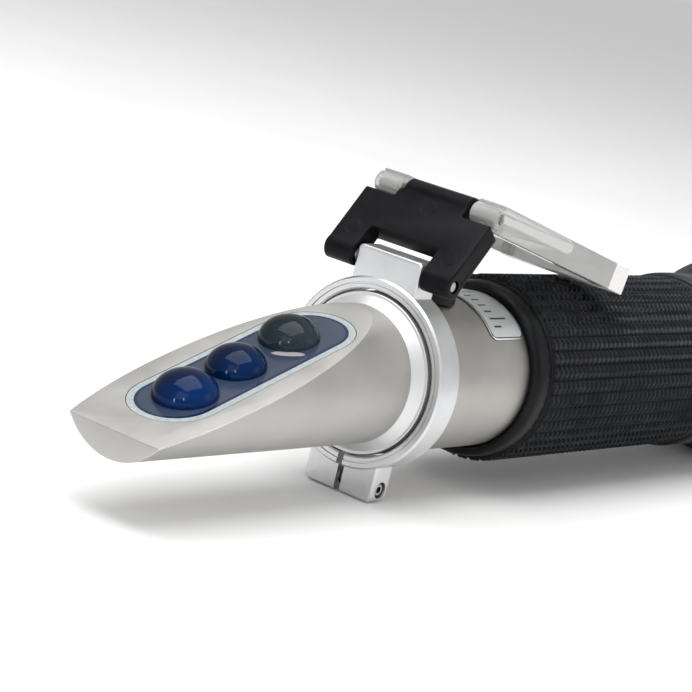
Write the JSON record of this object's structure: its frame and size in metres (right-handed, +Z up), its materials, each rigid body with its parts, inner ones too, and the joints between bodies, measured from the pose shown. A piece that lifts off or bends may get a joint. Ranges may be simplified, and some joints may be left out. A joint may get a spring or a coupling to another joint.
{
  "type": "hand-held refractometer",
  "caption": "Hand-held refractometer: slanted prism under a hinged clear cover, tube with a calibration screw and rubber grip, and a focusing eyepiece with an eyecup.",
  "frame": {"origin": "centre of the object's box, on the plane that it rests on", "axes": "+X along the optical axis from the prism tip to the eyecup, +Z up with the cover plate on top, +Y to the left of the eye that looks through it"},
  "size_m": [0.18, 0.037, 0.0476],
  "materials": {
    "satin_aluminium": "satin, bead blasted, warm grey",
    "bright_aluminium": "machined, bright",
    "steel": "plain",
    "brass": "plain",
    "black_plastic": "moulded, matt black",
    "black_rubber": "moulded, matt black",
    "clear_acrylic": "clear acrylic, polished",
    "glass": "optical glass, polished",
    "pale_seal": "pale sealing compound",
    "label": "silver label"
  },
  "bodies": {
    "root": {"prism_head": "satin_aluminium", "prism": "glass", "prism_seal": "pale_seal", "head_o_ring": "black_rubber", "body_tube": "satin_aluminium", "clamp_ring": "bright_aluminium", "clamp_screw": "steel", "hinge_pin": "steel", "calibration_bush": "brass", "light_baffle": "black_plastic", "scale_glass": "glass", "scale_holder": "black_plastic", "scale_ring": "black_plastic", "label_plate": "label", "rubber_grip": "black_rubber"},
    "cover_arm": {"hinge_block": "black_plastic", "cover_pin": "steel"},
    "cover_plate": {"cover_plate": "clear_acrylic"},
    "calibration_screw": {"calibration_screw": "steel"},
    "calibration_cap": {"calibration_cap": "black_rubber"},
    "lens_carriage": {"lens_carrier": "black_plastic", "bimetal_strip": "brass", "lens_cell": "black_plastic", "lens_cell_ring": "black_plastic", "objective_lens": "glass", "front_rivet": "steel", "rear_rivet": "steel"},
    "focus_carriage": {"focus_o_ring": "black_rubber"},
    "eyepiece": {"eyepiece_housing": "black_plastic", "eyepiece_ring": "black_plastic", "eye_lens_front": "glass", "eye_lens_rear": "glass", "lens_spacer": "black_plastic", "field_stop": "black_plastic", "eyecup": "black_rubber"}
  },
  "joints": [
    {"name": "cover_arm_hinge", "type": "hinge", "parent": "root", "child": "cover_arm", "pos_m": [-0.0356, 0, 0.03515], "axis": [0, -1, 0], "range_deg": [0, 154.9]},
    {"name": "cover_plate_hinge", "type": "hinge", "parent": "cover_arm", "child": "cover_plate", "pos_m": [-0.02723, 0, 0.04549], "axis": [0, -1, 0], "range_deg": [0, 56.6]},
    {"name": "cap_pull", "type": "slide", "parent": "root", "child": "calibration_cap", "axis": [0, 0, 1], "range_m": [0, 0.004]},
    {"name": "calibration_turn", "type": "hinge", "parent": "root", "child": "calibration_screw", "pos_m": [-0.025, 0, 0.03285], "axis": [0, 0, 1], "range_deg": [-360, 360]},
    {"name": "calibration_lift", "type": "slide", "parent": "root", "child": "lens_carriage", "axis": [0, 0, 1], "range_m": [-0.00035, 0.00035]},
    {"name": "focus_travel", "type": "slide", "parent": "root", "child": "focus_carriage", "axis": [1, 0, 0], "range_m": [0, 0.004]},
    {"name": "focus_turn", "type": "hinge", "parent": "focus_carriage", "child": "eyepiece", "pos_m": [0.0539, 0, 0.01855], "axis": [1, 0, 0], "range_deg": [0, 360]}
  ],
  "couplings": [
    {"joint": "calibration_turn", "follows": "calibration_lift", "rad_per_m": 17950},
    {"joint": "focus_travel", "follows": "focus_turn", "m_per_rad": 0.000636}
  ]
}
